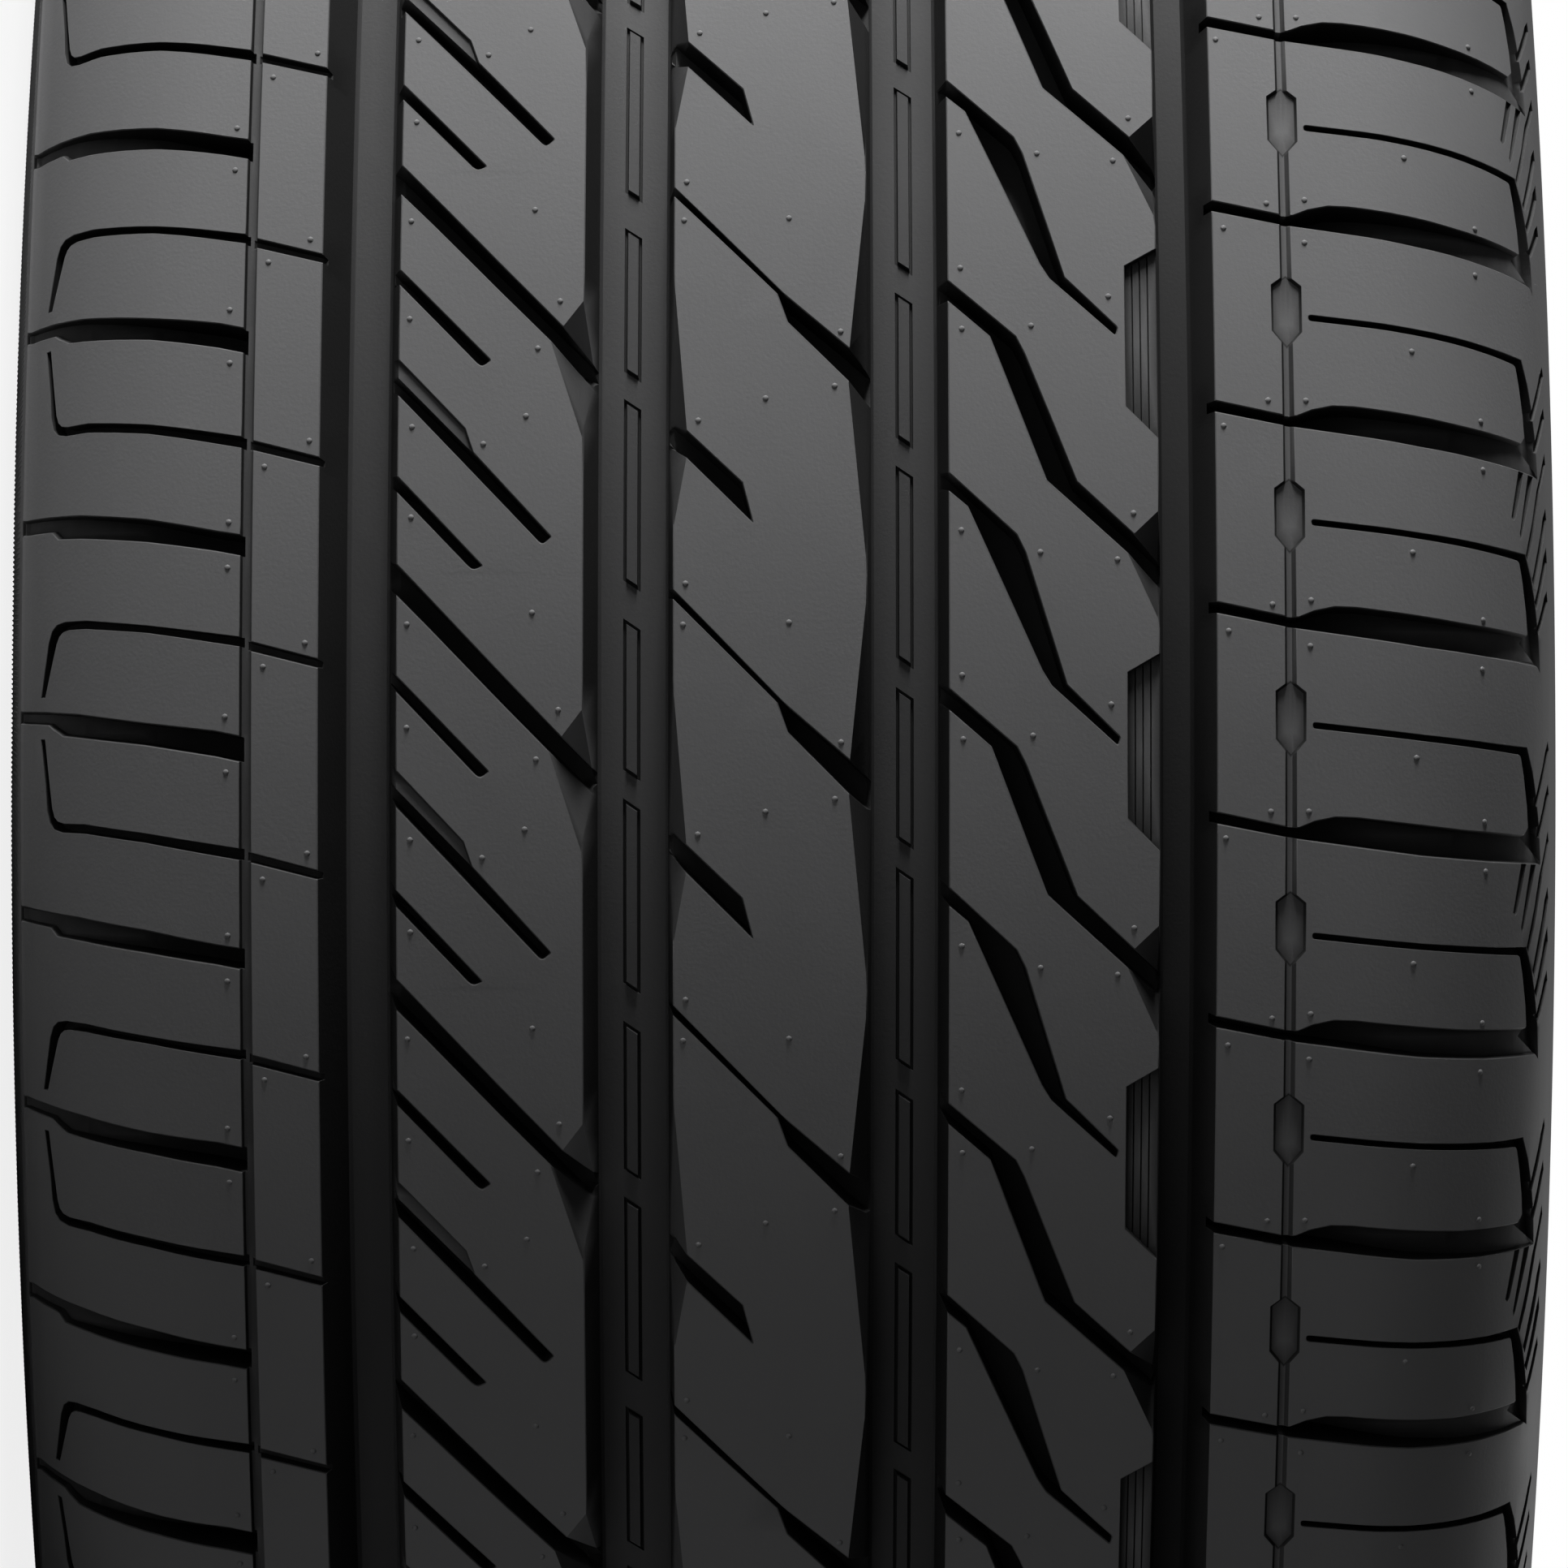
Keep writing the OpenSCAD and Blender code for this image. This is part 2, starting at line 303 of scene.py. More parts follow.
def rounded(points: Outline) -> np.ndarray:
    """Rounds the corners that carry a third value, their radius.

    Args:
        points: Corners as (across, round) or (across, round, radius).

    Returns:
        Rows of (across, round).
    """
    made = []
    for i, (x, v, *radius) in enumerate(points):
        here = np.array((x, v), float)
        if not radius:
            made.append(here)
            continue
        ways = [np.array(points[j % len(points)][:2], float) - here for j in (i - 1, i + 1)]
        start, stop = (here + way / np.hypot(*way) * min(radius[0], np.hypot(*way) * 0.48) for way in ways)
        made += [(1 - t) ** 2 * start + 2 * t * (1 - t) * here + t * t * stop for t in (0.0, 0.35, 0.65, 1.0)]
    return np.array(made)


def inset(points: np.ndarray, distance: float) -> np.ndarray:
    """Moves a closed outline inwards, with its corners kept sharp.

    Args:
        points: The outline, anticlockwise.
        distance: How far in each side moves.

    Returns:
        The moved outline, with as many points.
    """
    edge = np.roll(points, -1, axis=0) - points
    edge /= np.maximum(np.hypot(edge[:, 0], edge[:, 1]), 1e-9)[:, None]
    normal = np.column_stack([-edge[:, 1], edge[:, 0]])
    before = np.roll(normal, 1, axis=0)
    share = np.maximum(1 + np.sum(normal * before, axis=1), 0.35)
    return points + (normal + before) / share[:, None] * distance


def outline_gap(outline: np.ndarray, points: np.ndarray) -> np.ndarray:
    """Distance of each point from a closed outline, whether inside it or outside.

    Args:
        outline: The outline's points.
        points: The points to measure.

    Returns:
        One distance for each point.
    """
    edge = np.roll(outline, -1, axis=0) - outline
    way = points[:, None] - outline
    share = np.clip((way * edge).sum(2) / np.maximum((edge ** 2).sum(1), TINY), 0, 1)
    return np.sqrt(((way - edge * share[..., None]) ** 2).sum(2)).min(1)


def depth_inside(outline: np.ndarray, points: np.ndarray) -> np.ndarray:
    """Distance of each point inside a closed outline from that outline, and zero for those outside it.

    Args:
        outline: The outline's points.
        points: The points to measure.

    Returns:
        One distance for each point.
    """
    (ax, ay), (bx, by) = outline.T, np.roll(outline, -1, axis=0).T
    x, y = points[:, :1], points[:, 1:]
    rise = np.where(np.abs(by - ay) < TINY, TINY, by - ay)
    crosses = ((ay > y) != (by > y)) & (x < ax + (bx - ax) * (y - ay) / rise)
    return np.where(crosses.sum(1) % 2 == 1, outline_gap(outline, points), 0.0)


def openness(before: np.ndarray, after: np.ndarray, depth: np.ndarray) -> np.ndarray:
    """How much of the sky a point in a trench sees, from 0 to 1.

    Args:
        before: Distance to one side of the trench.
        after: Distance to its other side.
        depth: Depth of the point.

    Returns:
        One share for each point.
    """
    safe = np.maximum(depth, 1e-6)
    return (before / np.hypot(before, safe) + after / np.hypot(after, safe)) / 2


class Laid:
    """What a feature of the tread knows once it is laid on the strip."""

    corners: np.ndarray
    depth_run: np.ndarray
    spread: np.ndarray
    start_point: np.ndarray
    slope: np.ndarray
    profile: np.ndarray


@dataclass
class Cut(Laid):
    """A slot or recess with steep walls, a broken edge and a floor whose depth may vary across."""

    outline: Outline
    depth: Sequence[Sequence[float]]
    wall: float = 0.25
    edge: float = 0.16
    step: float = 7.0
    # Painted shade: the walls' share of sky is scaled by the first of these and the broken edge takes the second,
    # which darkens them in the recess finish.
    wall_tone: float = 0.15
    edge_tone: float = 0.6

    def lay(self, strip: Strip) -> None:
        """Turns distances from the middle into distances along the surface.

        Args:
            strip: The strip that the cut lies in.
        """
        points = rounded([(strip.across(p[0]), *p[1:]) for p in self.outline])
        self.corners = inset(resampled(points, self.step), -0.6 * self.edge)
        self.depth_run = np.array([(abs(strip.across(z)), d) for z, d in self.depth])

    def rings(self) -> list[np.ndarray]:
        """The closed outlines at the surface, below the broken edge and at the floor."""
        return [self.corners, inset(self.corners, self.edge), inset(self.corners, self.edge + self.wall)]

    def measure(self, points: np.ndarray) -> tuple[np.ndarray, np.ndarray]:
        """Depth of the cut at each point, zero outside it, and how open the cut is there, which sets its painted
        shade.

        Args:
            points: Rows of (across, round) in millimetres.

        Returns:
            One depth and one share for each point.
        """
        gap = depth_inside(self.corners, points)
        full = np.interp(np.abs(points[:, 0]), self.depth_run[:, 0], self.depth_run[:, 1])
        broken = np.minimum(self.edge * EDGE_DROP, full)
        share = np.clip((gap - self.edge) / self.wall, 0, 1)
        depth = np.where(gap < self.edge, broken * gap / self.edge, broken + (full - broken) * share)
        sky = openness(gap, gap, depth)
        # Painted shade: the broken edge and the walls get lowered shares, so they come out darker.
        return depth, np.where(gap < self.edge, self.edge_tone, np.where(share < 1, sky * self.wall_tone, sky))


@dataclass
class Bevel(Laid):
    """A flat sloping facet: level with the surface from a to b, and at its depth at c."""

    a: Sequence[float]
    b: Sequence[float]
    c: Sequence[float]
    depth: float
    reach: float = 1.2
    into: float = 1.0
    # Painted shade: one share of sky for the whole facet, which darkens it in the recess finish.
    open: float = 0.5

    def lay(self, strip: Strip) -> None:
        """Turns distances from the middle into distances along the surface.

        Args:
            strip: The strip that the facet lies in.
        """
        a, b, c = strip.lay((self.a, self.b, self.c))
        along = (a - b) / np.hypot(*(a - b))
        down = c - (a + along * np.dot(c - a, along))
        fall = down / np.hypot(*down)
        self.start_point, self.slope = a, fall * (self.depth / np.hypot(*down))
        wall = (c - b) / np.hypot(*(c - b))
        self.corners = np.array([b, a + along * self.into, c + wall * self.into])
        self.spread = np.vstack([self.corners[:2], self.corners[2] + fall * self.reach, b + fall * self.reach])

    def rings(self) -> list[np.ndarray]:
        """The facet's three sides."""
        return [self.corners]

    def measure(self, points: np.ndarray) -> tuple[np.ndarray, np.ndarray]:
        """Depth of the facet at each point, zero outside it, and how open it is there, a fixed share that sets its
        painted shade.

        Args:
            points: Rows of (across, round) in millimetres.

        Returns:
            One depth and one share for each point.
        """
        depth = np.maximum((points - self.start_point) @ self.slope, 0)
        return np.where(depth_inside(self.spread, points) > 0, depth, 0.0), np.full(len(points), self.open)


@dataclass
class Groove(Laid):
    """A groove right round the tyre, with broken edges, two walls laid back and a rounded floor."""

    start: float
    stop: float
    depth: float
    lay_start: float = 0.15
    lay_stop: float = 0.15
    edge: float = 0.16
    knee: float = 0.93
    foot: float = 0.35
    # Painted shade: the walls' share of sky is scaled by walls, left and right, and the floor's by floor.
    walls: tuple[float, float] = (0.07, 0.07)
    floor: float = 1.0

    def lay(self, strip: Strip) -> None:
        """Works out the groove's profile along the surface.

        Args:
            strip: The strip that the groove lies in.
        """
        left, right = ([(0.0, 0.0), (self.edge, self.edge * EDGE_DROP),
                        (self.edge + lay * self.knee, self.depth * self.knee),
                        (self.edge + lay + self.foot, self.depth)] for lay in (self.lay_start, self.lay_stop))
        first, last = strip.across(self.start), strip.across(self.stop)
        self.profile = np.array([(first + s, d) for s, d in left] + [(last - s, d) for s, d in right[::-1]])

    def measure(self, points: np.ndarray) -> tuple[np.ndarray, np.ndarray]:
        """Depth of the groove at each point, zero outside it, and how open the groove is there, lowered on the walls
        and floor for painted shade.

        Args:
            points: Rows of (across, round) in millimetres.

        Returns:
            One depth and one share for each point.
        """
        depth = np.interp(points[:, 0], *self.profile.T, left=0.0, right=0.0)
        before = np.maximum(points[:, 0] - self.profile[0, 0], 0)
        after = np.maximum(self.profile[-1, 0] - points[:, 0], 0)
        wall = np.where(before < after, *self.walls)
        # Painted shade: walls and floor take a lower share than the broken edges.
        tone = np.where(depth < self.depth * self.knee, wall, self.floor)
        return depth, openness(before, after, depth) * np.where(depth < self.edge * EDGE_DROP, 1, tone)


@dataclass
class Pad(Laid):
    """A low flat pad with a fine moat round it."""

    outline: Outline
    height: float = 0.5
    wall: float = 0.12
    moat: float = 0.19
    moat_depth: float = 0.5
    moat_wall: float = 0.04
    step: float = 8.0

    def lay(self, strip: Strip) -> None:
        """Turns distances from the middle into distances along the surface."""
        self.corners = resampled(strip.lay(self.outline), self.step)

    def rings(self) -> list[np.ndarray]:
        """The moat's outer edge, its floor's two edges and the pad's top."""
        reaches = (-self.moat, self.moat_wall - self.moat, self.moat, self.moat + self.wall)
        return [inset(self.corners, reach) for reach in reaches]

    def measure(self, points: np.ndarray) -> tuple[np.ndarray, np.ndarray]:
        """How far the surface drops, with the pad's rise as a negative depth, and where the moat is, for its painted
        shade.

        Args:
            points: Rows of (across, round) in millimetres.

        Returns:
            One depth and one share for each point.
        """
        outer, inner = (depth_inside(inset(self.corners, reach), points) for reach in (-self.moat, self.moat))
        moat = np.clip(outer / self.moat_wall, 0, 1)
        share = np.clip(inner / self.wall, 0, 1)
        return moat * self.moat_depth - (self.height + self.moat_depth) * share, moat * (1 - share)


def between(upper: Outline, lower: Outline) -> list[Sequence[float]]:
    """Joins the two long sides of a cut, both given from the same end, into one outline."""
    return list(upper) + list(lower)[::-1]


LEFT_MAIN = ((76.0, 6.0), (84.0, 5.2), (94.0, 3.0), (103.0, 1.1), (108.8, 0.6), (109.6, 0.15))
RIGHT_MAIN = ((61.0, 6.0), (76.0, 6.0), (88.0, 3.6), (98.0, 1.6), (104.0, 0.7), (108.4, 0.3))
LEFT_NARROW = ((76.0, 2.4), (96.0, 2.4), (106.5, 2.0))
RIGHT_NARROW = ((74.0, 3.2), (100.0, 2.6), (106.0, 1.8), (108.5, 1.3))
THROUGH = ((0.0, 6.0),)
BLIND = ((0.0, 4.6),)
NOTCH_LINE = ((0.0, 1.5),)
RIB_SLOT = ((0.0, 1.2),)
LEDGE = ((0.0, 1.0),)
RECESS = ((0.0, 0.52),)
SHALLOW = ((0.0, 0.45),)


def left_shoulder() -> list[Cut]:
    """The wide and narrow cuts of the left shoulder and the slots of its thin rib.

    Returns:
        The cuts of one pair of pitches.
    """
    first = between(
        [(-75.9, -6.65), (-80, -7.5), (-90, -8.65), (-100, -10.1), (-105, -10.6), (-109.6, -10.95)],
        [(-75.9, -2.95), (-80, -3.85), (-90, -5.45), (-100, -6.65), (-102.4, -6.95), (-104.0, -8.0),
         (-104.75, -8.65), (-109.6, -9.15)])
    second = between(
        [(-75.9, 23.35), (-80, 22.7), (-90, 20.8), (-100, 19.4), (-105, 18.95), (-109.6, 18.5)],
        [(-75.9, 26.4), (-80, 25.6), (-90, 24.1), (-100, 22.85), (-103.5, 22.5), (-104.5, 21.3),
         (-109.6, 20.8)])
    hook_up = between(
        [(-75.9, -20.75), (-90, -22.6), (-99, -23.7), (-104.35, -23.8, 3.0), (-106.0, -12.8)],
        [(-75.9, -19.3), (-90, -21.5), (-99, -22.45), (-103.1, -22.5, 2.0), (-105.35, -12.8)])
    hook_down = between(
        [(-75.9, 9.2), (-90, 7.0), (-99, 5.85), (-103.9, 5.8, 2.2), (-104.6, 0), (-105.35, -6.6)],
        [(-75.9, 10.9), (-90, 8.4), (-99, 7.25), (-104.8, 7.1, 3.2), (-105.25, 0), (-106.0, -6.6)])
    slots = [between([(-75.5, v), (-64.6, v + 2.85)], [(-75.5, v + 1.45), (-64.6, v + 4.2)]) for v in (-20.3, 9.55)]
    return [Cut(first, LEFT_MAIN), Cut(second, LEFT_MAIN),
            *(Cut(hook, LEFT_NARROW, wall=0.09, edge=0.08) for hook in (hook_up, hook_down)),
            *(Cut(slot, RIB_SLOT, wall=0.2, edge=0.14) for slot in slots)]


def left_rib() -> list[Cut | Bevel]:
    """The slanted cuts of the rib left of the middle one.

    Returns:
        The cuts and bevels of one pair of pitches.
    """
    through = between([(-57.2, -33.95), (-50, -26.35), (-40, -15.75), (-31.25, -6.65), (-25.4, -0.65)],
                      [(-57.2, -29.3), (-50, -22.0), (-40, -11.6), (-33, -4.5), (-25.4, 3.3)])
    upper = between([(-55.9, -16.75), (-41.4, -1.75, 0.3)], [(-55.9, -14.4), (-42.75, -0.6, 1.0)])
    middle = between([(-55.9, -0.85), (-43.9, 11.5), (-32.7, 23.75, 0.3)], [(-55.9, 1.85), (-34.0, 25.0, 0.8)])
    ledge = between([(-55.9, -3.45), (-45, 8.1), (-43.6, 12.2)], [(-55.9, -0.2), (-43.9, 12.1)])
    lower = between([(-55.9, 13.45), (-42.35, 27.85, 0.3)], [(-55.9, 15.9), (-43.8, 28.6, 1.0)])
    # Each bevel's open value sets how much painted shade its facet gets.
    return [Cut(through, THROUGH), Cut(upper, BLIND), Cut(middle, BLIND), Cut(ledge, SHALLOW, wall=0.12),
            Cut(lower, BLIND), Bevel((-31.25, -6.65), (-28.4, -10.4), (-27.2, -2.4), 4.7, open=1.0),
            Bevel((-33.0, -4.5), (-28.5, 9.4), (-27.2, 1.5), 4.7)]


def middle_rib() -> list[Cut | Bevel]:
    """The bent cut and the blind wedge of the middle rib, and the long bevels of its edges.

    Returns:
        The cuts and bevels of one pair of pitches.
    """
    thin = between([(-17.1, -29.0), (-0.5, -11.95), (0.6, -10.85)], [(-17.1, -27.5), (-0.75, -11.2), (0.2, -9.6)])
    through = between([(-1.0, -12.4), (0, -11.4), (9.25, -3.4), (13.6, 0.6)],
                      [(-0.95, -11.4), (0.5, -7.25), (9.1, 1.4), (13.6, 5.3)])
    wedge = between([(-16.9, 5.55), (-13.75, 8.5), (-5.85, 16.0), (-4.3, 21.9, 0.5)],
                    [(-16.9, 9.35), (-13.75, 12.5)])
    # Each bevel's open value sets how much painted shade its facet gets.
    return [Cut(thin, THROUGH, wall=0.12, edge=0.1), Cut(through, THROUGH), Cut(wedge, BLIND),
            Bevel((-13.75, 7.75), (-15.45, -12.5), (-16.15, 6.2), 5.2, open=0.64),
            Bevel((-13.75, 12.5), (-15.45, 22.0), (-16.15, 10.2), 5.2),
            Bevel((9.25, -3.4), (11.5, -25.5), (12.3, -1.0), 5.2, open=0.3),
            Bevel((9.1, 1.4), (11.5, 26.5), (12.3, 4.2), 5.2, open=0.15)]


def right_rib() -> list[Cut | Bevel]:
    """The two bent cuts of the rib right of the middle one, its bevels and its ridged notch.

    Returns:
        The cuts and bevels of one pair of pitches.
    """
    through = between([(21.9, -14.6), (32.75, -5.25), (34.0, -2.75), (41.25, 15.75), (49.25, 23.25), (54.9, 28.6)],
                      [(21.9, -11.5), (29.1, -5.25), (37.0, 15.65), (48.35, 26.0), (54.9, 32.2)])
    blind = between([(21.9, 13.3), (32.75, 23.35), (34.0, 25.9), (39.75, 44.6), (47.25, 52.0, 0.3)],
                    [(21.9, 16.1), (25.85, 19.4), (36.25, 42.6), (37.6, 44.8), (46.9, 53.25, 0.4)])
    notch = [(53.3, -18.7), (48.25, -15.75), (48.25, 4.9), (53.3, 10.05)]
    lines = [Cut([(x - 0.13, -15.45 - (x - 48.25) * 0.58), (x + 0.13, -15.5 - (x - 48.25) * 0.58),
                  (x + 0.13, 4.75 + (x - 48.25) * 1.02), (x - 0.13, 4.6 + (x - 48.25) * 1.02)],
                 NOTCH_LINE, wall=0.06, edge=0.04, step=12.0) for x in (49.4, 50.5, 51.6)]
    # Each bevel's open value sets how much painted shade its facet gets.
    return [Cut(through, THROUGH), Cut(blind, BLIND), Cut(notch, LEDGE, wall=0.12, edge=0.1), *lines,
            Bevel((49.25, 23.25), (52.65, 20.0), (53.4, 27.2), 4.4, open=0.4),
            Bevel((48.35, 26.0), (52.5, 35.1), (53.4, 30.7), 4.4, open=0.33)]


def right_shoulder() -> list[Cut]:
    """The wide and narrow cuts of the right shoulder, its six-sided recesses and its fine slots.

    Returns:
        The cuts of one pair of pitches.
    """
    main = between(
        [(59.9, 3.75), (70.5, 6.0), (72.4, 6.15), (74.6, 5.25), (77.5, 4.65), (80.5, 4.75), (86, 5.4), (96, 6.65),
         (104.5, 7.5), (106.4, 7.7)],
        [(59.9, 5.45), (71, 7.65), (80, 8.9), (90, 10.3), (100, 11.35), (108.3, 12.15)])
    narrow = between(
        [(74.3, 21.0, 0.5), (90, 22.75), (101.2, 23.9), (106.0, 24.3), (106.95, 27.9), (107.6, 31.9),
         (108.2, 37.0), (108.4, 41.8)],
        [(74.3, 21.95, 0.5), (90, 23.7), (101.2, 25.0), (104.95, 25.5, 0.5), (105.45, 28.4), (106.0, 33.0),
         (106.2, 36.3), (105.3, 37.7)])
    six = [(71.25, -14.6), (69.1, -13.0), (69.1, -6.2), (71.25, -3.5), (73.4, -6.0), (73.4, -12.8)]
    made = []
    for turn in (-29.75, 0.0):
        wide, thin = ([(x, v + turn, *rest) for x, v, *rest in outline] for outline in (main, narrow))
        # The six-sided recesses' walls get darker painted shade than the default.
        made += [Cut(wide, RIGHT_MAIN), Cut(thin, RIGHT_NARROW, wall=0.09, edge=0.08),
                 Cut([(x, v + turn + 29.6) for x, v in six], RECESS, wall=0.3, edge=0.06, wall_tone=0.1)]
    hatch = ([(105.1, 11.8), (105.95, 11.9), (104.5, 19.0), (104.16, 19.5), (103.82, 19.0)],
             [(106.7, 12.0), (107.6, 12.1), (105.55, 21.5), (105.26, 22.2), (105.15, 21.3)],
             [(110.0, 7.2), (110.2, 8.9), (108.85, 13.9), (106.4, 25.3), (106.1, 24.4), (108.2, 13.9), (109.4, 9.5)],
             [(110.0, -6.6), (110.2, -5.2), (107.7, 3.6), (107.3, 2.6), (109.3, -4.6)],
             [(110.0, 0.0), (110.2, 1.6), (108.2, 8.3), (107.8, 7.2), (109.3, 2.0)],
             [(110.0, 15.9), (110.2, 17.6), (107.45, 29.2), (107.1, 27.9), (109.3, 17.9)],
             [(110.0, 22.0), (110.2, 24.3), (107.9, 32.4), (107.5, 31.2), (109.3, 24.1)],
             [(110.0, 28.8), (110.2, 30.4), (108.2, 36.1), (107.85, 35.0), (109.4, 30.1)])
    return made + [Cut(slot, SHALLOW, wall=0.1, edge=0.06, step=12.0) for slot in hatch]


def pads() -> list[Pad]:
    """The low pads along the floors of the second and third wide grooves.

    Returns:
        The pads of one pair of pitches.
    """
    rows = ((-22.7, -20.6, 1.45, (-23.75, -2.15)), (-22.7, -20.6, 1.45, (2.4, 28.85)),
            (16.1, 18.25, 1.5, (-13.75, 7.75)), (16.1, 18.25, 1.5, (12.35, 40.1)))
    return [Pad([(left, top), (right, top + drop), (right, bottom + drop), (left, bottom)])
            for left, right, drop, (top, bottom) in rows]


def grooves() -> list[Groove]:
    """All the grooves that run right round, from the left to the right.

    Returns:
        The grooves.
    """
    # walls and floor set how much painted shade each groove's walls and floor get.
    return [Groove(-76.65, -74.85, 1.0, 0.25, 0.1, edge=0.08, foot=0.1, walls=(0.0, 0.2)),
            Groove(-65.65, -54.35, 7.5, 3.5, 1.7, walls=(0.05, 0.25), floor=0.88),
            Groove(-28.4, -15.45, 7.5, 1.9, 0.9, floor=0.95), Groove(11.55, 23.35, 7.5, 0.75, 1.4, floor=0.9),
            Groove(52.65, 61.0, 7.5, 0.8, 2.7, walls=(0.0, 0.07), floor=0.5),
            Groove(70.4, 72.1, 0.5, 0.3, 0.6, edge=0.06, foot=0.05, walls=(0.0, 0.4))]


NUBS = ((-78.35, -30.65), (-78.6, -9.5), (-78.45, -1.65), (-78.25, 21.45), (-67.35, -19.9), (-73.25, -16.55),
        (-67.0, 9.8), (-73.3, 13.5), (-53, -22.5), (-35.4, -24.1), (-31.7, -10.4), (-34.8, -3.45),
        (-53, -7.9), (-52.5, 7.9), (-36.4, 6.4), (-42.4, 10.4), (-52.5, 20.9), (-13.85, -28.2),
        (-14.2, -22.4), (0.7, -22.7), (8, -5.85), (-12.1, 7.1), (-2.6, 3.9), (7.15, 2.1), (25, -15.3),
        (25.15, -6.3), (34.95, -6.8), (45.95, -11.2), (46.9, 26.9), (36.05, 25.9), (49.2, 20.3),
        (24.95, 22.8), (68.7, -25.4), (74.15, -26), (62.5, -21.6), (74, -19.5), (99.1, -23.8),
        (98.9, -16.6), (89.05, -3.7), (88.7, 25.6), (68.4, 3.9), (73.75, 3.9), (62.05, 7.65),
        (99.2, 5.5), (99.4, 12.7))


def new_tree(kind: str, name: str, inputs: dict[str, str], outputs: dict[str, str]) -> bpy.types.NodeTree:
    """Makes an empty node group with its sockets.

    Args:
        kind: Blender's type of tree.
        name: The group's name.
        inputs: The type of each named input.
        outputs: The type of each named output.

    Returns:
        The group.
    """
    tree = bpy.data.node_groups.new(name, kind)
    for way, sockets in (("INPUT", inputs), ("OUTPUT", outputs)):
        for label, value in sockets.items():
            tree.interface.new_socket(label, in_out=way, socket_type=f"NodeSocket{value}")
    return tree


def wired(tree: bpy.types.NodeTree, nodes: Nodes, links: str) -> bpy.types.NodeTree:
    """Adds nodes to a tree, sets their values and joins their sockets.

    Args:
        tree: The tree, which may hold nodes already.
        nodes: Each new node's short name, with Blender's type and the values to set: those in
            small letters are properties, the others name or count an input.
        links: Lines of "node: output > node: input", where a number counts the sockets.

    Returns:
        The tree.
    """
    made = dict(tree.nodes.items())
    for name, (kind, values) in nodes.items():
        node = made[name] = tree.nodes.new(kind)
        for key, value in values.items():
            if str(key).islower():
                setattr(node, key, value)
            else:
                node.inputs[key].default_value = value
    for line in links.strip().splitlines():
        (start, output), (stop, into) = (end.split(": ") for end in line.split(" > "))
        output, into = (int(key) if key.isdigit() else key for key in (output, into))
        tree.links.new(made[start].outputs[output], made[stop].inputs[into])
    return tree


def placed(name: str, data: bpy.types.ID) -> bpy.types.Object:
    """Puts a new object into the scene.

    Args:
        name: The object's name.
        data: Its mesh, lamp or camera.

    Returns:
        The object.
    """
    made = bpy.data.objects.new(name, data)
    bpy.context.scene.collection.objects.link(made)
    return made


@dataclass
class Marks:
    """What the faces of one pair's mesh carry: how open each corner is, which sets the painted shade of the recess
    finish, and which faces are carved.
    """

    open_share: np.ndarray
    carved: np.ndarray
    # The recess finish, which paints shade by how open each corner is.
    recess: bpy.types.Material

    def write(self, mesh: bpy.types.Mesh) -> None:
        """Stores the marks as attributes of the mesh."""
        mesh.attributes.new("open_share", "FLOAT", "CORNER").data.foreach_set("value", self.open_share.astype("f"))
        mesh.attributes.new("carved", "BOOLEAN", "FACE").data.foreach_set("value", self.carved.astype(bool))


RING_LINKS = """
in: Pitch pairs > line: Count
index: 0 > share: 0
in: Pitch pairs > share: 1
share: 0 > turn: 0
turn: 0 > angle: Z
line: Mesh > copies: Points
in: Geometry > copies: Instance
angle: 0 > copies: Rotation
copies: 0 > real: 0
real: 0 > weld: Geometry
in: Weld distance > weld: Distance
weld: 0 > smooth: 0
smooth: 0 > finish: Geometry
in: Finish > finish: Material
finish: 0 > recess: Geometry
carved: Attribute > recess: Selection
in: Recess finish > recess: Material
recess: 0 > out: 0
"""


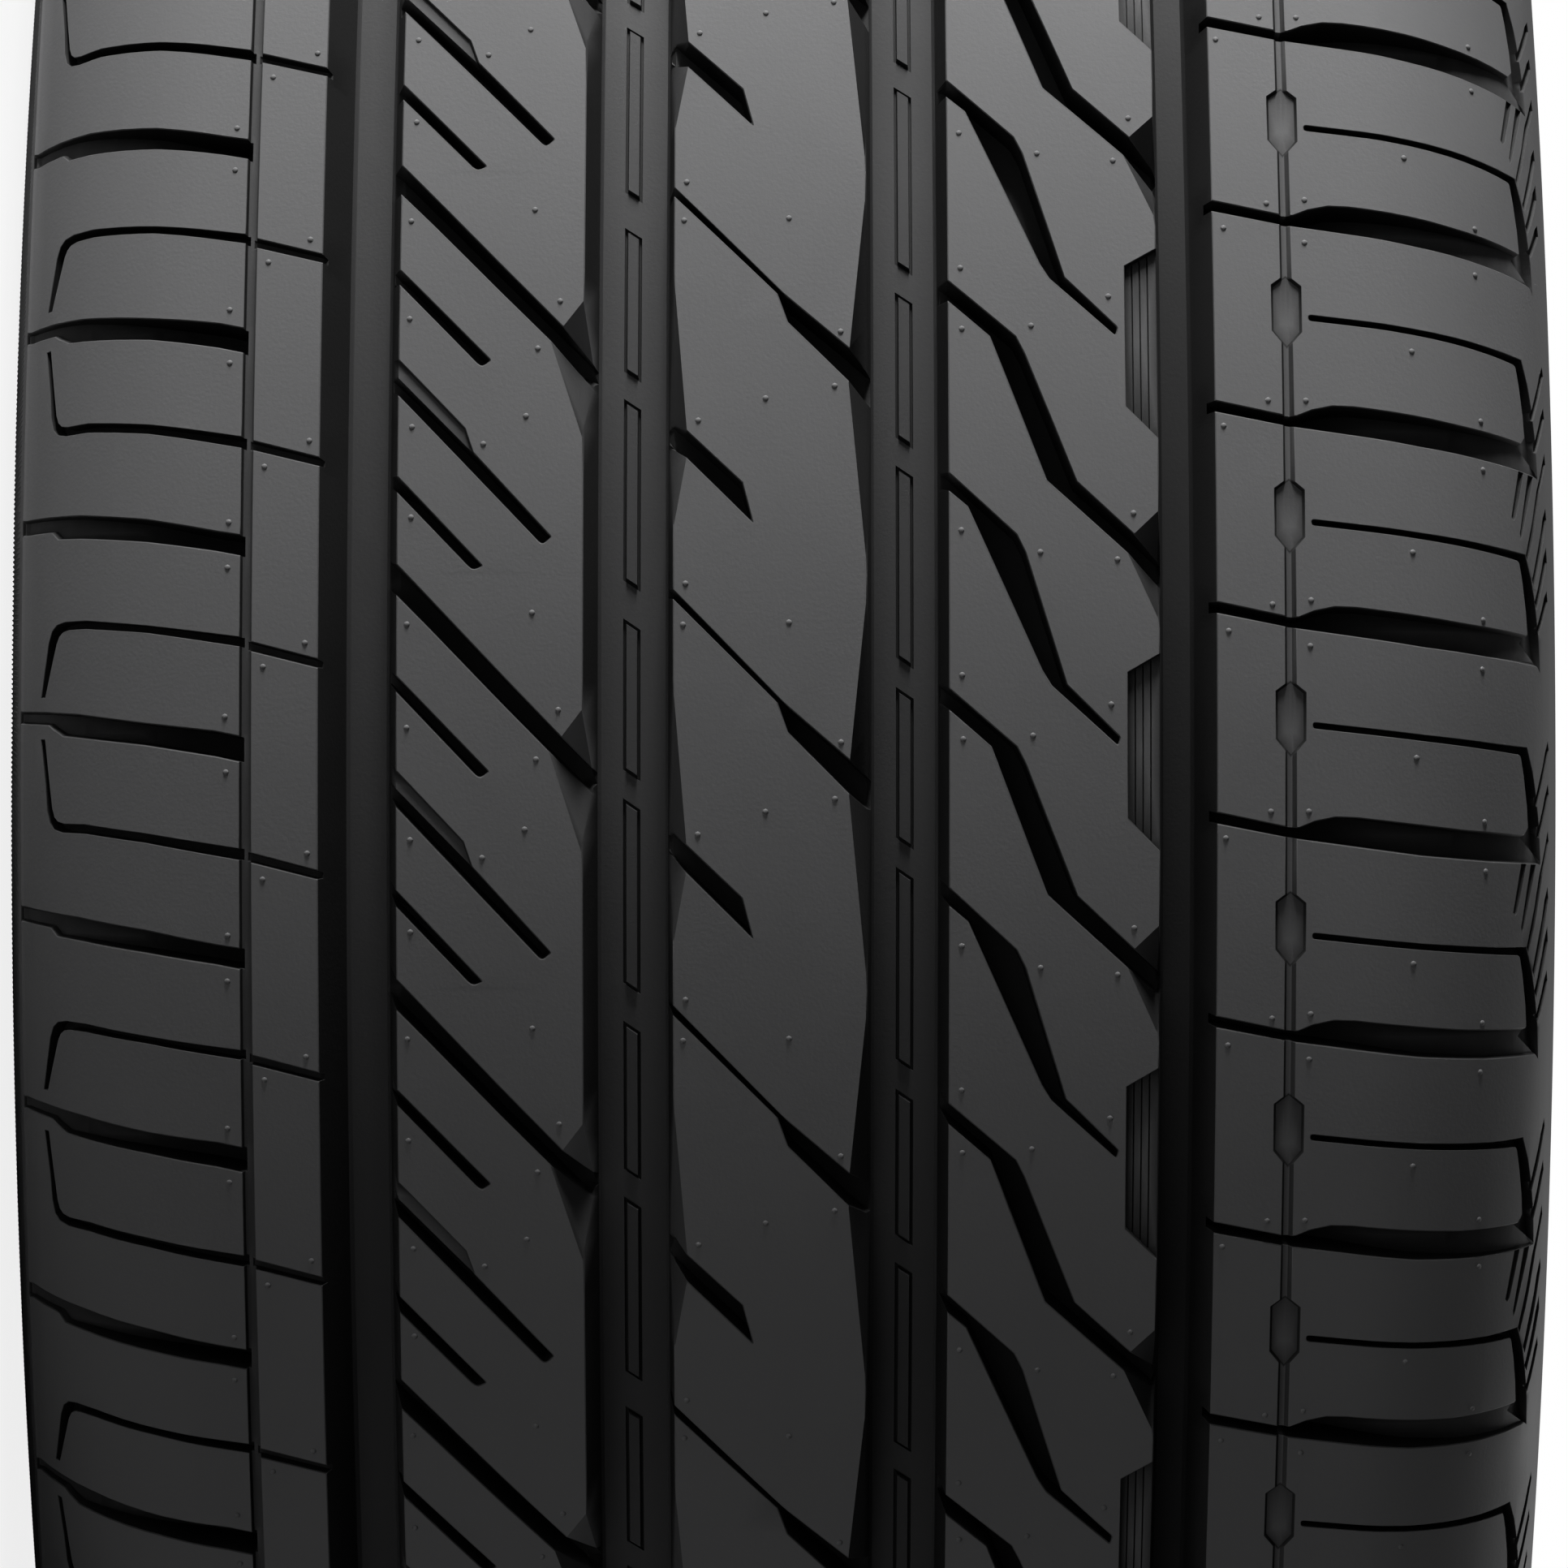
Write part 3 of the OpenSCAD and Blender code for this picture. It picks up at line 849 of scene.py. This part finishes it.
class Ring:
    """Repeats one pair of pitches round the axle line with a Geometry Nodes tree."""

    @staticmethod
    @cache
    def tree() -> bpy.types.NodeTree:
        """Builds the tree once: instances on a turn, made real, merged, smoothed and given a finish, with the
        painted-shade finish on the carved faces.

        Returns:
            The tree.
        """
        inputs = {"Geometry": "Geometry", "Pitch pairs": "Int", "Weld distance": "Float", "Finish": "Material",
                  "Recess finish": "Material"}
        return wired(new_tree("GeometryNodeTree", "pitch_ring", inputs, {"Geometry": "Geometry"}), {
            "in": ("NodeGroupInput", {}), "line": ("GeometryNodeMeshLine", {"Offset": (0, 0, 0)}),
            "index": ("GeometryNodeInputIndex", {}), "share": ("ShaderNodeMath", {"operation": "DIVIDE"}),
            "turn": ("ShaderNodeMath", {"operation": "MULTIPLY", 1: 2 * math.pi}),
            "angle": ("ShaderNodeCombineXYZ", {}), "copies": ("GeometryNodeInstanceOnPoints", {}),
            "real": ("GeometryNodeRealizeInstances", {}), "weld": ("GeometryNodeMergeByDistance", {}),
            "smooth": ("GeometryNodeSetShadeSmooth", {}),
            "carved": ("GeometryNodeInputNamedAttribute", {"data_type": "BOOLEAN", "Name": "carved"}),
            "finish": ("GeometryNodeSetMaterial", {}), "recess": ("GeometryNodeSetMaterial", {}),
            "out": ("NodeGroupOutput", {})}, RING_LINKS)

    @classmethod
    def close(cls, name: str, points: np.ndarray, faces: Sequence[Sequence[int]],
              finish: bpy.types.Material, sharp: float = 34.0, marks: Marks | None = None) -> bpy.types.Object:
        """Turns one pair's mesh into the whole ring as a plain mesh.

        Args:
            name: The piece's name.
            points: Rows of (x, y, z) in metres.
            faces: Indices of each face's points.
            finish: The material.
            sharp: Angle in degrees past which an edge stays sharp.
            marks: Which faces take the recess finish with its painted shade, and how open each face's corners are.

        Returns:
            The piece, riding on the tyre's body.
        """
        mesh = bpy.data.meshes.new(name)
        mesh.from_pydata(points.tolist(), [], [list(f) for f in faces])
        mesh.materials.append(finish)
        if marks:
            marks.write(mesh)
        piece = placed(name, mesh)
        modifier = piece.modifiers.new("ring", "NODES")
        modifier.node_group = cls.tree()
        values = {"Pitch pairs": PITCH_PAIRS, "Weld distance": WELD, "Finish": finish,
                  "Recess finish": marks.recess if marks else finish}
        for item in modifier.node_group.interface.items_tree:
            if item.item_type == "SOCKET" and item.in_out == "INPUT" and item.name in values:
                modifier[item.identifier] = values[item.name]
        made = bpy.data.meshes.new_from_object(piece.evaluated_get(bpy.context.evaluated_depsgraph_get()))
        piece.modifiers.clear()
        piece.data = made
        made.set_sharp_from_angle(angle=math.radians(sharp))
        made.calc_loop_triangles()
        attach(piece, BODY)
        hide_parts(NODE)
        LOG.info("%s: %d points, %d triangles", name, len(made.vertices), len(made.loop_triangles))
        return piece


def turned(profile: np.ndarray, columns: int, strip: Strip) -> tuple[np.ndarray, list[list[int]]]:
    """Turns an open profile through one pair of pitches.

    Args:
        profile: Rows of (r, z) in millimetres.
        columns: Number of stretches round.
        strip: The strip, for the pair's length.

    Returns:
        The points in metres, and the quads, which face left of the profile's direction.
    """
    angle = (np.linspace(-0.5, 0.5, columns + 1) * strip.pair) / strip.section.outer_r - math.pi / 2
    r, z = profile.T
    points = np.stack([np.outer(np.cos(angle), r), np.outer(np.sin(angle), r),
                       np.broadcast_to(z, (columns + 1, len(z)))], axis=2).reshape(-1, 3) * MM
    count = len(profile)
    corners = [k * count + i for k in range(columns) for i in range(count - 1)]
    return points, [[i, count + i, count + i + 1, i + 1] for i in corners]


@dataclass
class TreadBand:
    """The tread from buttress to buttress, with every groove, cut, bevel and pad."""

    strip: Strip
    seam: float = 14.4
    hidden: float = 9.5
    column: float = 7.4
    flat_to: float = 80.0
    shoulder_line: float = 3.4
    buttress_lines: int = 7
    left_lines: tuple[float, ...] = (0.55, 0.25)
    right_lines: tuple[float, ...] = (-1.2, 0.6, 1.2)
    grid_to: float = 79.0
    grid_step: float = 6.5
    grid_clear: float = 1.6
    merge: float = 1e-4
    corner_shift: float = 0.04
    # Painted shade: how much darker the moats round the pads come out.
    moat_tone: float = 0.9
    level_to: float = 0.01

    def __post_init__(self) -> None:
        """Lays every feature of one pair of pitches onto the strip."""
        self.grooves = grooves()
        self.carved = [*left_shoulder(), *left_rib(), *middle_rib(), *right_rib(), *right_shoulder()]
        self.pads = pads()
        for feature in [*self.grooves, *self.carved, *self.pads]:
            feature.lay(self.strip)

    def measure(self, points: np.ndarray) -> tuple[np.ndarray, np.ndarray]:
        """Depth below the tread's surface at each point of the strip, and how open the surface is there, which sets
        the painted shade of the carved faces.

        Args:
            points: Rows of (across, round) in millimetres.

        Returns:
            One depth and one share from 0 to 1 for each point.
        """
        depth, open_share = np.zeros(len(points)), np.ones(len(points))
        copies = [points + (0.0, turn * self.strip.pair) for turn in (-1, 0, 1)]
        carved = [groove.measure(points) for groove in self.grooves]
        for drop, share in carved + [feature.measure(copy) for feature in self.carved for copy in copies]:
            open_share = np.where(drop > depth + 1e-6, share, open_share)
            depth = np.maximum(depth, drop)
        # Painted shade in the moats round the pads.
        for drop, moat in (pad.measure(copy) for pad in self.pads for copy in copies):
            depth, open_share = depth + drop, open_share * (1 - self.moat_tone * moat)
        return depth, open_share

    def guides(self) -> list[float]:
        """Distances across of the plain lines that keep the round shoulders and the tread's edges in shape.

        Returns:
            One distance for each line.
        """
        made = []
        edge_z, across = self.strip.section.edge_z, self.strip.across
        for side in Side:
            flat, edge, lip = (across(z * side.value) for z in (
                self.flat_to, edge_z, edge_z + self.strip.section.edge_step))
            count = math.ceil(abs(edge - flat) / self.shoulder_line)
            steps = self.left_lines if side is Side.LEFT else self.right_lines
            made += [*np.linspace(flat, edge, count + 1),
                     *np.linspace(lip, self.strip.ends[side], self.buttress_lines + 1)[:-1],
                     *(lip - step * side.value for step in steps)]
        return made

    def plan(self, low: float, high: float) -> tuple[np.ndarray, np.ndarray]:
        """Cuts a part of the flat strip into triangles that follow every line of the pattern.

        Args:
            low: The part's first edge, as a distance across.
            high: The part's last edge.

        Returns:
            The flat points, and the triangles.
        """
        half = self.strip.pair / 2
        count = math.ceil(self.strip.pair / self.column)
        inner = sorted({round(x, 5) for groove in self.grooves for x in groove.profile[:, 0]} | set(self.guides()))
        inner = [x for x in inner if low < x < high]
        lines = [np.column_stack([np.full(n + 1, x), np.linspace(-half, half, n + 1)])
                 for x, n in [(low, COLUMNS), (high, COLUMNS), *((x, count) for x in inner)]]
        lines += [np.array([(low, v), (high, v)]) for v in (-half, half)]
        rings = [ring + (0, turn * self.strip.pair) for feature in [*self.carved, *self.pads]
                 for turn in (-1, 0, 1) for ring in feature.rings()]
        rings = [r for r in rings if (r.max(0) > (low, -half)).all() and (r.min(0) < (high, half)).all()]
        points: list[tuple[float, float]] = []
        edges: list[tuple[int, int]] = []
        for closed, stretch in [*((0, line) for line in lines), *((1, ring) for ring in rings)]:
            first, size = len(points), len(stretch)
            points += map(tuple, stretch)
            edges += [(first + i, first + (i + 1) % size) for i in range(size - 1 + closed)]
        grid = np.array([(x, v) for x in np.arange(-self.grid_to, self.grid_to + 1, self.grid_step)
                         for v in np.linspace(-half, half, count + 1)[1:-1]])
        gaps = [outline_gap(ring, grid) for ring in rings] + [np.abs(grid[:, 0] - x) for x in inner]
        points += map(tuple, grid[np.min(gaps, axis=0) > self.grid_clear])
        result = delaunay_2d_cdt([tuple(map(float, p)) for p in points], edges, [], 0, self.merge, False)
        flat = np.array([tuple(p) for p in result[0]])
        faces = np.array([f for f in result[2] if len(f) == 3])
        x, v = flat[faces].mean(axis=1).T
        return flat, faces[(np.abs(v) < half) & (x > low) & (x < high)]

    def build(self, side: Side, finish: bpy.types.Material, recess: bpy.types.Material) -> bpy.types.Object:
        """Makes one part of the band as a closed ring. The two parts meet on the floor of a wide groove.

        Args:
            side: The part left or right of the seam.
            finish: The material of the tread's face.
            recess: The material of all that is carved into it, with painted shade.

        Returns:
            The piece.
        """
        seam = self.strip.across(self.seam)
        flat, faces = self.plan(*sorted((seam, self.strip.ends[side])))
        depth = self.measure(flat)[0]
        outside = self.strip.place(flat, depth)
        corner = flat[faces[:, ::-1]]
        middle = corner.mean(axis=1, keepdims=True)
        # Painted shade: how open the corners of each face are, for the recess finish.
        open_share = self.measure((corner + (middle - corner) * self.corner_shift).reshape(-1, 2))[1]
        used, faces = np.unique(faces, return_inverse=True)
        faces = faces.reshape(-1, 3)[:, ::-1]
        carved = (depth[used][faces] > self.level_to).any(axis=1)
        end_r, end_z = self.strip.section.band_half(side)[-1]
        at_seam = np.array([[seam, 0.0]])
        x, y, z = self.strip.place(at_seam, self.measure(at_seam)[0])[0] / MM
        under = self.strip.section.under_band(self.hidden)
        half = np.vstack([under[1:], [[end_r + 0.5, end_z - 7], [end_r, end_z]]])
        wall = np.array([[under[0, 0], z], [math.hypot(x, y), z]])
        profile = np.vstack([wall[::-1], half * (1, -1)] if side is Side.LEFT else [half[::-1], wall])
        inside, quads = turned(profile, COLUMNS, self.strip)
        shells = faces.tolist() + [[len(used) + i for i in quad] for quad in quads]
        marks = Marks(np.concatenate([open_share, np.zeros(4 * len(quads))]),
                      np.concatenate([carved, np.ones(len(quads), bool)]), recess)
        name = f"tread_{side.name.lower()}"
        return Ring.close(name, np.vstack([outside[used], inside]), shells, finish, marks=marks)


@dataclass
class Carcass:
    """The sidewalls, rim guards, beads and lining."""

    strip: Strip
    hidden: float = 8.8

    def build(self, finish: bpy.types.Material) -> bpy.types.Object:
        """Makes the carcass as one closed ring.

        Args:
            finish: The sidewalls' material.

        Returns:
            The piece.
        """
        half = self.strip.section.carcass_half(self.hidden)
        points, quads = turned(np.vstack([half, (half * (1, -1))[-2::-1]]), COLUMNS, self.strip)
        return Ring.close("carcass", points, quads, finish, sharp=28.0)


@dataclass
class VentNubs:
    """The small round stubs that the mould's vents leave on the tread."""

    strip: Strip
    radius: float = 0.42
    height: float = 0.2
    foot: float = 1.04
    sunk: float = 0.5
    segments: int = 8
    rows: int = 3

    def build(self, finish: bpy.types.Material) -> bpy.types.Object:
        """Makes every nub as a small closed dome.

        Args:
            finish: The nubs' material.

        Returns:
            The piece.
        """
        count = self.segments
        turn = np.arange(count) * 2 * math.pi / count
        rings = [(self.radius * self.foot, self.sunk), (self.radius * self.foot, 0.0)]
        rings += [(self.radius * math.cos(t), -self.height * math.sin(t))
                  for t in np.linspace(0.0, math.pi / 2, self.rows + 1)[1:-1]]
        flat = np.vstack([reach * np.column_stack([np.cos(turn), np.sin(turn)]) for reach, _ in rings] + [(0, 0)])
        depth = np.append(np.repeat([depth for _, depth in rings], count), -self.height)
        points = [self.strip.place(flat + (self.strip.across(x), v), depth) for x, v in NUBS]
        last = len(flat) - 1 - count
        dome = [[ring + i, ring + count + i, ring + count + (i + 1) % count, ring + (i + 1) % count]
                for ring in range(0, last, count) for i in range(count)]
        dome += [[last + i, last + count, last + (i + 1) % count] for i in range(count)] + [list(range(count))]
        faces = [[nub * len(flat) + i for i in face] for nub in range(len(NUBS)) for face in dome]
        return Ring.close("vent_nubs", np.vstack(points), faces, finish, sharp=80.0)


@dataclass
class Serrations:
    """The band of fine slanted ridges below the left shoulder."""

    strip: Strip
    count: int = 72
    start: float = 110.7
    past_end: float = 1.5
    lean: float = 2.0
    height: float = 0.2
    sunk: float = 0.1
    foot: float = 0.42
    crest: float = -0.1
    end_share: float = 0.3
    stations: int = 4

    def build(self, finish: bpy.types.Material) -> bpy.types.Object:
        """Makes every ridge as a slim closed prism that follows the buttress.

        Args:
            finish: The ridges' material.

        Returns:
            The piece.
        """
        first = self.strip.across(-self.start)
        share = np.arange(self.stations + 1) / self.stations
        run = first + (self.strip.ends[Side.LEFT] + self.past_end - first) * share
        rise = self.height * np.minimum(1.0, 4 * share * (1 - share) + self.end_share)
        depth = np.array([d for up in rise for d in (self.sunk, -up, self.sunk)])
        pitch, ways = self.strip.pair / self.count, (-self.foot, self.crest, self.foot)
        points: list[np.ndarray] = []
        faces: list[list[int]] = []
        for ridge in range(self.count):
            middle = -self.strip.pair / 2 + (ridge + 0.5) * pitch - self.lean * share
            flat = [(x, v + way * pitch) for x, v in zip(run, middle) for way in ways]
            base, end = ridge * len(flat), (ridge + 1) * len(flat) - 3
            points.append(self.strip.place(np.array(flat), depth))
            faces += [[a + j, a + (j + 1) % 3, a + 3 + (j + 1) % 3, a + 3 + j]
                      for a in range(base, end, 3) for j in range(3)]
            faces += [[base + 2, base + 1, base], [end, end + 1, end + 2]]
        return Ring.close("serrations", np.vstack(points), faces, finish)


class Pattern:
    """The node groups that the rubber's finishes share, each built once."""

    @staticmethod
    @cache
    def grain() -> bpy.types.NodeTree:
        """The fine pores of moulded rubber and its slow cloudy bloom.

        Returns:
            The group.
        """
        return wired(new_tree("ShaderNodeTree", "moulded_rubber_grain",
                              {"Pores per metre": "Float", "Clouds per metre": "Float"},
                              {"Height": "Float", "Cloud": "Float"}), {
            "in": ("NodeGroupInput", {}), "out": ("NodeGroupOutput", {}), "place": ("ShaderNodeTexCoord", {}),
            "pores": ("ShaderNodeTexNoise", {"Detail": 3.0, "Roughness": 0.6}),
            "clouds": ("ShaderNodeTexNoise", {"Detail": 4.0})}, GRAIN_LINKS)

    @staticmethod
    @cache
    def recess() -> bpy.types.NodeTree:
        """Painted shade: darkens the rubber in its narrow and deep places, by how open each corner is.

        Returns:
            The group.
        """
        return wired(new_tree("ShaderNodeTree", "painted_recess_shade", {"Tone where closed": "Float", "Fall": "Float"},
                              {"Tone": "Float"}), {
            "in": ("NodeGroupInput", {}), "out": ("NodeGroupOutput", {}),
            "share": ("ShaderNodeAttribute", {"attribute_name": "open_share"}),
            "power": ("ShaderNodeMath", {"operation": "POWER"}), "tone": ("ShaderNodeMapRange", {})}, RECESS_LINKS)


GRAIN_LINKS = """
place: Object > pores: Vector
place: Object > clouds: Vector
in: Pores per metre > pores: Scale
in: Clouds per metre > clouds: Scale
pores: Fac > out: Height
clouds: Fac > out: Cloud
"""
RECESS_LINKS = """
share: Fac > power: 0
in: Fall > power: 1
power: 0 > tone: Value
in: Tone where closed > tone: To Min
tone: Result > out: Tone
"""
RUBBER_LINKS = """
grain: Cloud > tone: Factor
grain: Cloud > rough: Value
rough: Result > Principled BSDF: Roughness
grain: Height > bump: Height
bump: Normal > Principled BSDF: Normal
"""
SHADE_LINKS = """
tone: Result > dim: A
shade: Tone > dim: B
dim: Result > Principled BSDF: Base Color
"""
FLOOR_LINKS = """
path: Is Camera Ray > share: 0
share: 0 > mix: Fac
Principled BSDF: 0 > mix: 1
white: 0 > mix: 2
mix: 0 > Material Output: Surface
"""
WORLD_LINKS = """
path: Is Camera Ray > mix: Fac
light: 0 > mix: 1
Background: 0 > mix: 2
mix: 0 > World Output: Surface
"""


@dataclass(frozen=True)
class RubberFinish:
    """One finish of the tyre's rubber."""

    name: str
    dark: tuple[float, float, float]
    light: tuple[float, float, float]
    rough_low: float
    rough_high: float
    pores: float = 1800.0
    clouds: float = 28.0
    bump: float = 0.12
    bump_height: float = 0.0002
    shine: float = 0.5
    # Painted shade in narrow and deep places: the darkest factor and how fast it falls with openness; None leaves it
    # out.
    closed: float | None = None
    fall: float = 1.8

    def build(self) -> bpy.types.Material:
        """Makes the material, with its pattern on object coordinates.

        Returns:
            The material.
        """
        material = bpy.data.materials.new(self.name)
        material.use_nodes = True
        tree = material.node_tree
        tree.nodes["Principled BSDF"].inputs["Specular IOR Level"].default_value = self.shine
        nodes: Nodes = {
            "grain": ("ShaderNodeGroup", {"node_tree": Pattern.grain(), "Pores per metre": self.pores,
                                          "Clouds per metre": self.clouds}),
            "tone": ("ShaderNodeMix", {"data_type": "RGBA", "A": (*self.dark, 1), "B": (*self.light, 1)}),
            "rough": ("ShaderNodeMapRange", {"From Min": 0.3, "From Max": 0.7, "To Min": self.rough_low,
                                             "To Max": self.rough_high}),
            "bump": ("ShaderNodeBump", {"Strength": self.bump, "Distance": self.bump_height})}
        links = "tone: Result > Principled BSDF: Base Color"
        # Painted shade, darker where a corner is less open.
        if self.closed is not None:
            nodes["shade"] = ("ShaderNodeGroup", {"node_tree": Pattern.recess(), "Fall": self.fall,
                                                  "Tone where closed": self.closed})
            nodes["dim"] = ("ShaderNodeMix", {"data_type": "RGBA", "blend_type": "MULTIPLY", "Factor": 1.0})
            links = SHADE_LINKS.strip()
        wired(tree, nodes, RUBBER_LINKS + links)
        return material


@dataclass(frozen=True)
class Lamp:
    """One soft area lamp."""

    name: str
    place: tuple[float, float, float]
    size: float
    watts: float
    height: float

    def build(self) -> None:
        """Makes the lamp, facing the tyre's middle."""
        data = bpy.data.lights.new(self.name, "AREA")
        data.shape, data.size, data.size_y, data.energy = "RECTANGLE", self.size, self.height, self.watts
        lamp = placed(self.name, data)
        lamp.location = self.place
        lamp.rotation_euler = (-Vector(self.place)).to_track_quat("-Z", "Y").to_euler()


LAMPS = (Lamp("key_light", (-2.69, -0.77, 0.12), 0.7, 205.0, 0.4),
         Lamp("grazing_light", (-2.78, -0.19, 0.29), 0.5, 85.0, 0.5),
         Lamp("back_light", (1.27, 1.52, 1.98), 1.6, 42.0, 1.6))


@dataclass
class Studio:
    """The camera at the photograph's angle, the pale floor, the white surroundings and the lamps."""

    half_w: float
    distance: float = 1.091
    lens: float = 126.7
    sensor: float = 36.0
    floor_size: float = 8.0
    floor_tone: float = 0.92
    floor_rough: float = 0.9
    floor_white: float = 0.84
    fill: float = 0.1

    def camera(self) -> None:
        """Places the camera level with the tyre's middle, turned so that the tyre stands upright in view."""
        data = bpy.data.cameras.new("camera")
        data.sensor_width, data.lens, data.clip_start = self.sensor, self.lens, 0.01
        camera = bpy.context.scene.camera = placed("camera", data)
        camera.matrix_world = Matrix(((0, -1, 0, 0), (0, 0, -1, -self.distance), (1, 0, 0, 0), (0, 0, 0, 1)))

    def floor(self) -> None:
        """Makes the pale floor that the tyre lies on, with some of its white for the camera alone."""
        half, level = self.floor_size / 2, -self.half_w * MM
        mesh = bpy.data.meshes.new("floor")
        mesh.from_pydata([(x * half, y * half, level) for x, y in ((-1, -1), (1, -1), (1, 1), (-1, 1))], [],
                         [(0, 1, 2, 3)])
        material = bpy.data.materials.new("pale_floor")
        material.use_nodes = True
        shader = material.node_tree.nodes["Principled BSDF"].inputs
        shader["Base Color"].default_value = (self.floor_tone, self.floor_tone, self.floor_tone, 1)
        shader["Roughness"].default_value = self.floor_rough
        wired(material.node_tree, {
            "white": ("ShaderNodeEmission", {}), "path": ("ShaderNodeLightPath", {}),
            "share": ("ShaderNodeMath", {"operation": "MULTIPLY", 1: self.floor_white}),
            "mix": ("ShaderNodeMixShader", {})}, FLOOR_LINKS)
        mesh.materials.append(material)
        placed("floor", mesh)

    def world(self) -> None:
        """Makes white surroundings for the camera and a grey fill for the light."""
        world = bpy.context.scene.world = bpy.data.worlds.new("surroundings")
        world.use_nodes = True
        world.node_tree.nodes["Background"].inputs["Color"].default_value = (1, 1, 1, 1)
        wired(world.node_tree, {
            "light": ("ShaderNodeBackground", {"Color": (1, 1, 1, 1), "Strength": self.fill}),
            "path": ("ShaderNodeLightPath", {}), "mix": ("ShaderNodeMixShader", {})}, WORLD_LINKS)

    def build(self) -> None:
        """Sets up the whole studio."""
        bpy.context.scene.view_settings.view_transform = "Standard"
        self.camera()
        self.floor()
        self.world()
        for lamp in LAMPS:
            lamp.build()


TREAD_RUBBER = RubberFinish("tread_rubber", (0.060, 0.060, 0.061), (0.070, 0.070, 0.071), 0.62, 0.72, shine=0.2)
# A slightly darker and rougher copy of the tread rubber, with painted shade in narrow and deep places.
RECESS_RUBBER_PAINTED_SHADE = RubberFinish("recess_rubber_painted_shade", (0.056, 0.056, 0.057), (0.062, 0.062, 0.063), 0.66, 0.76,
                             shine=0.2, closed=0.01)
SIDE_RUBBER = RubberFinish("sidewall_rubber", (0.032, 0.032, 0.033), (0.042, 0.042, 0.043), 0.48, 0.60)


def main() -> None:
    """Builds the tyre piece by piece and the studio round it."""
    logging.basicConfig(level=logging.INFO, format="%(message)s")
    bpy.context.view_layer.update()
    section = Section.from_frame()
    strip = Strip(section)
    tread, recess = TREAD_RUBBER.build(), RECESS_RUBBER_PAINTED_SHADE.build()
    band = TreadBand(strip)
    for side in Side:
        band.build(side, tread, recess)
    Carcass(strip).build(SIDE_RUBBER.build())
    VentNubs(strip).build(tread)
    Serrations(strip).build(tread)
    Studio(section.half_w).build()
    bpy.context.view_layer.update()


if __name__ == "__main__":
    main()
